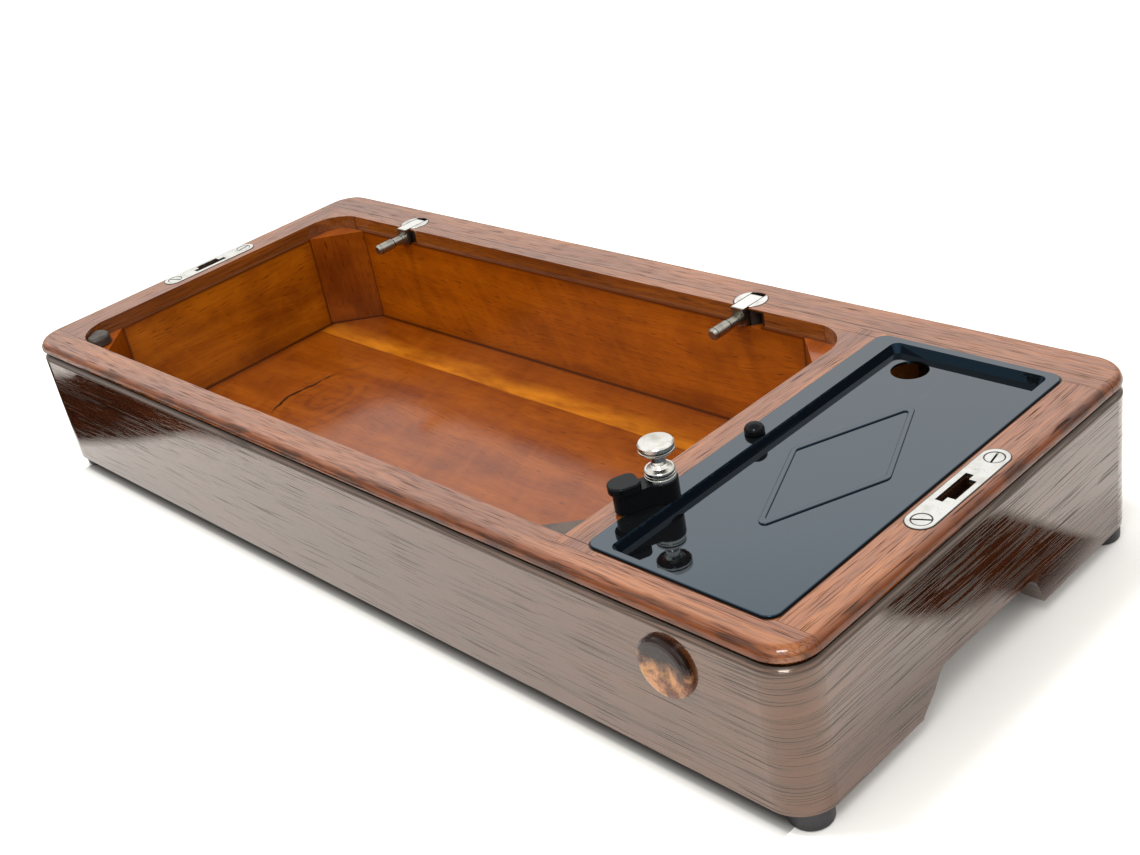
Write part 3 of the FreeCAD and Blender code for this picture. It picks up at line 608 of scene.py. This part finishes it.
def plated(name, base, rough, brush=(1.0, 1.0, 1.0), tarnish=0.5, turned=None, below=None, plate=None,
           slot_shade_at=(), painted_highlight=None):
    """Bright plate with fine polishing lines, tarnish and tiny pits."""
    m = Mat(name, Metallic=1.0)
    p = m.place()
    x, y, z = m.split(p)
    lines = m.noise(m.scaled(p, shade(brush, 2200.0)), 1.0, 2.0)
    cloud = m.noise(p, 190.0, 3.0)
    pits = m.step(m.noise(p, 1900.0, 1.0), 0.72, 0.82)
    brown = tuple(c * f for c, f in zip(base, (0.55, 0.51, 0.45)))
    col = m.mix(m.mul(m.step(cloud, 0.46, 0.66), tarnish), base, brown)
    col = m.mix(m.mul(pits, 0.7), col, (0.05, 0.04, 0.035))
    r = m.add(m.add(rough, m.mul(lines, 0.14)), m.mul(pits, 0.3))
    height = m.inverse(pits)
    if turned is not None:
        # Turning marks round the upright axis, weaker on the top face, and dirt in the grooves.
        cx, cy, top = turned
        marks = m.grain(m.away(x, y, (cx, cy)), 1500.0, x, 0.0, m.mul(z, 5200.0), 1.0)
        depth = m.sub(0.65, m.mul(m.step(z, top - 0.0012, top - 0.0006), 0.50))
        col = m.mix(m.mul(m.step(marks, 0.50, 0.70), depth), col, shade(base, 0.35))
        height = m.sub(height, m.mul(marks, 0.5))
        for down in KNOB_GROOVES:
            line = m.fade(m.gap(z, top - down), 0.00018, 0.00042)
            col = m.mix(m.mul(line, 0.85), col, (0.02, 0.018, 0.015))
    if below is not None:
        # Painted shade down inside the cup.
        cup_shade = m.fade(z, below - 0.0006, below - 0.0002)
        col = m.mix(m.mul(cup_shade, 0.92), col, (0.012, 0.010, 0.009))
        r = m.add(r, m.mul(cup_shade, 0.35))
    if plate is not None:
        # Darker round the plate's edge, round its two screw heads, and on every face below the plate's top,
        # its slot too.
        lo, hi = plate
        mid_x, centre_y = (lo[0] + hi[0]) / 2.0, (lo[1] + hi[1]) / 2.0
        rim = m.step(m.round_rect(x, y, lo, hi, (hi[0] - lo[0]) / 2.0), -0.0005, -0.0002)
        for screw_y in (centre_y - SCREW_SPREAD, centre_y + SCREW_SPREAD):
            d = m.gap(m.away(x, y, (mid_x, screw_y)), SCREW_R)
            rim = m.larger(rim, m.fade(d, 0.00015, 0.00040))
        rim = m.larger(rim, m.fade(z, hi[2] - PLATE_SKIN[0], hi[2] - PLATE_SKIN[1]))
        col = m.mix(m.mul(rim, 0.9), col, (0.015, 0.013, 0.011))
        r = m.add(r, m.mul(rim, 0.3))
    for at in slot_shade_at:
        # Painted shade in the gap beside the arm where it lies in the cup.
        line = m.step(m.gap(x, at), 0.00025, 0.0005)
        col = m.mix(m.sub(0.95, m.mul(line, 0.95)), col, (0.01, 0.009, 0.008))
    if painted_highlight is not None:
        # Painted highlight on the arm's top where it lies in the cup.
        arm_highlight = m.mul(m.step(y, painted_highlight[0], painted_highlight[0] + 0.0006), m.step(z, painted_highlight[1], painted_highlight[1] + 0.0003))
        col = m.mix(arm_highlight, col, (0.86, 0.86, 0.83))
    polish = m.bump(lines, 0.06, 0.0001)
    return m.out(Base_Color=col, Roughness=r, Normal=m.bump(height, 0.3, 0.0001, polish))


knob_lo, knob_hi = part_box("thumb_screw")
cup_lo, cup_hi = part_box("left_hinge_cup")
arm_sides = [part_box(side + "_hinge_arm")[k][0] for side in ("left", "right") for k in (0, 1)]
nickel = plated("nickel", (0.62, 0.615, 0.58), 0.12,
                turned=((knob_lo[0] + knob_hi[0]) / 2, (knob_lo[1] + knob_hi[1]) / 2, knob_hi[2]))
nickel_cup = plated("nickel_cup", (0.82, 0.82, 0.80), 0.12, below=cup_hi[2], slot_shade_at=arm_sides)
nickel_pin = plated("nickel_pin", (0.34, 0.335, 0.30), 0.26, tarnish=0.8,
                    painted_highlight=(cup_lo[1] - 0.0026, cup_hi[2] - 0.0007))
# The two strike plates are one metal in two brightnesses: the left one is painted lighter and the right one
# darker, as lit and shaded copies.
plate_lit_left = plated("plate_lit_left", (0.92, 0.93, 0.89), 0.16, (1.0, 0.05, 1.0), tarnish=0.35,
                    plate=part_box("left_strike_plate"))
plate_shaded_right = plated("plate_shaded_right", (0.60, 0.605, 0.585), 0.16, (1.0, 0.05, 1.0), tarnish=0.35,
                     plate=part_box("right_strike_plate"))


def rubber(name, base, rough, light):
    m = Mat(name, Specular_IOR_Level=0.4)
    p = m.place()
    grain = m.noise(p, 900.0, 2.0)
    cloud = m.noise(p, 90.0, 3.0)
    col = m.mix(m.mul(m.step(cloud, 0.35, 0.75), 0.6), base, light)
    col = m.mix(m.mul(m.step(grain, 0.58, 0.75), 0.35), col, shade(base, 0.4))
    uneven = m.bump(cloud, 0.4, 0.0012)
    return m.out(Base_Color=col, Roughness=m.add(rough, m.mul(cloud, 0.15)),
                 Normal=m.bump(grain, 0.35, 0.0003, uneven))


foot_rubber = rubber("foot_rubber", (0.012, 0.0115, 0.013), 0.42, (0.034, 0.031, 0.035))
pad_rubber = rubber("pad_rubber", srgb(52, 46, 42), 0.34, srgb(96, 88, 80))
pad_felt = rubber("pad_felt", srgb(72, 62, 57), 0.50, srgb(98, 86, 79))


def burl(name):
    """The plug's turned and stained face, with mottled figure and a darker upper part."""
    m = Mat(name, Coat_Weight=0.5, Coat_Roughness=0.04, Coat_IOR=1.4, Specular_IOR_Level=0.15)
    x, y, z = m.split(m.place())
    v = m.vec(x, m.mul(y, 0.3), z)
    big = m.noise(v, 130.0, 4.0, 0.60, 0.8)
    gold = m.noise(v, 210.0, 3.0, 0.6, 0.6)
    fine = m.noise(v, 900.0, 2.0)
    lo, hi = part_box("knee_plug")
    middle = (lo[2] + hi[2]) / 2
    low = m.step(m.add(z, m.mul(big, 0.012)), middle + 0.011, middle + 0.003)
    col = m.mix(m.step(big, 0.42, 0.60), srgb(176, 124, 82), srgb(92, 50, 30))
    col = m.mix(m.mul(m.step(gold, 0.56, 0.66), 0.7), col, srgb(172, 124, 44))
    col = m.mix(m.inverse(low), col, srgb(26, 11, 5))
    col = m.mix(m.mul(m.step(fine, 0.56, 0.70), 0.5), col, srgb(28, 12, 6))
    return m.out(Base_Color=col, Roughness=m.add(0.2, m.mul(fine, 0.15)), Normal=m.bump(big, 0.10, 0.0003))


plug_wood = burl("plug_wood")


# ---------------------------------------------------------------- finishes on the CAD nodes
SMOOTH_BELOW = 28.0         # degrees between faces


def paint(material, *names):
    for n in names:
        o = nodes[n]
        o.data.materials.clear()
        o.data.materials.append(material)


paint(band_oak, "wall_front", "wall_back", "wall_left_end", "wall_right_end")
paint(rail_oak_x, "top_rail_front", "top_rail_back")
paint(rail_oak_y, "top_rail_left", "top_rail_right", "cross_rail", "frame_corner_blocks")
paint(floor_wood, "floor_board")
paint(wall_wood_x, "lining_back", "lining_front")
paint(wall_wood_y, "lining_left", "divider")
paint(post_wood, "post_front_left", "post_back_left", "post_front_right", "post_back_right")
paint(tray_black, "tray")
paint(lever_black, "tray_stud", "latch_lever")
paint(nickel, "thumb_washer", "thumb_screw")
paint(nickel_cup, "left_hinge_cup", "right_hinge_cup")
paint(nickel_pin, "left_hinge_pivot", "right_hinge_pivot", "left_hinge_arm", "right_hinge_arm")
paint(plate_lit_left, "left_strike_plate", "left_strike_screws")
paint(plate_shaded_right, "right_strike_plate", "right_strike_screws")
paint(plug_wood, "knee_plug")
paint(foot_rubber, "foot_front_left", "foot_front_right", "foot_back_left", "foot_back_right")

for o in nodes.values():
    # Smooth shading below an angle, kept sharp above it. No vertex moves.
    for p in o.data.polygons:
        p.use_smooth = True
    o.data.set_sharp_from_angle(angle=math.radians(SMOOTH_BELOW))

# ---------------------------------------------------------------- rest pads
PAD_VOXEL = 0.0004
PAD_LIFT = 0.00002          # the underside stays this far above its seat


def worn_pad(piece, node, material, dents, seed):
    """A pad in its CAD solid's place, rounded and dented by use."""
    o = new_object(piece, nodes[node].data.copy())
    o.data.materials.clear()
    o.data.materials.append(material)
    remesh = o.modifiers.new("remesh", "REMESH")
    remesh.mode = "VOXEL"
    remesh.voxel_size = PAD_VOXEL
    relax = o.modifiers.new("relax", "SMOOTH")
    relax.factor = 0.5
    relax.iterations = 8
    graph = bpy.context.evaluated_depsgraph_get()
    done = bpy.data.meshes.new_from_object(o.evaluated_get(graph))
    o.modifiers.clear()
    o.data = done
    lo, hi = node_box(node)
    for v in done.vertices:
        n = Vector(v.normal)
        p = v.co * 1.0
        d = noise.fractal((p + Vector((seed, 0.0, 0.0))) * 260.0, 1.0, 2.0, 3) * dents
        d -= abs(noise.noise(p * 700.0)) * dents * 0.35
        top = max(0.0, min(1.0, (p.z - lo.z) / (hi.z - lo.z)))
        v.co = p + n * (d * top - dents * 0.5)
        v.co.z = max(v.co.z, lo.z + PAD_LIFT)
    for f in done.polygons:
        f.use_smooth = True
    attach(o, "base")
    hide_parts(node)


worn_pad("rubber_pad_left", "rest_pad_left", pad_rubber, 0.00035, 3.1)
worn_pad("rubber_pad_right", "rest_pad_right", pad_felt, 0.00018, 7.7)

# ---------------------------------------------------------------- stage
FLOOR_HALF = 6.0


def floor():
    m = Mat("floor_paper", Roughness=0.75, Specular_IOR_Level=0.2)
    p = m.place()
    col = m.mix(m.mul(m.noise(p, 3.0, 2.0), 0.5), (0.91, 0.897, 0.870), (0.89, 0.877, 0.850))
    m.out(Base_Color=col, Normal=m.bump(m.noise(p, 900.0, 1.0), 0.04, 0.0002))
    mesh = bpy.data.meshes.new("floor")
    b = bmesh.new()
    bmesh.ops.create_grid(b, x_segments=8, y_segments=8, size=FLOOR_HALF)
    b.to_mesh(mesh)
    b.free()
    mesh.materials.append(m.m)
    return new_object("floor", mesh)


floor()
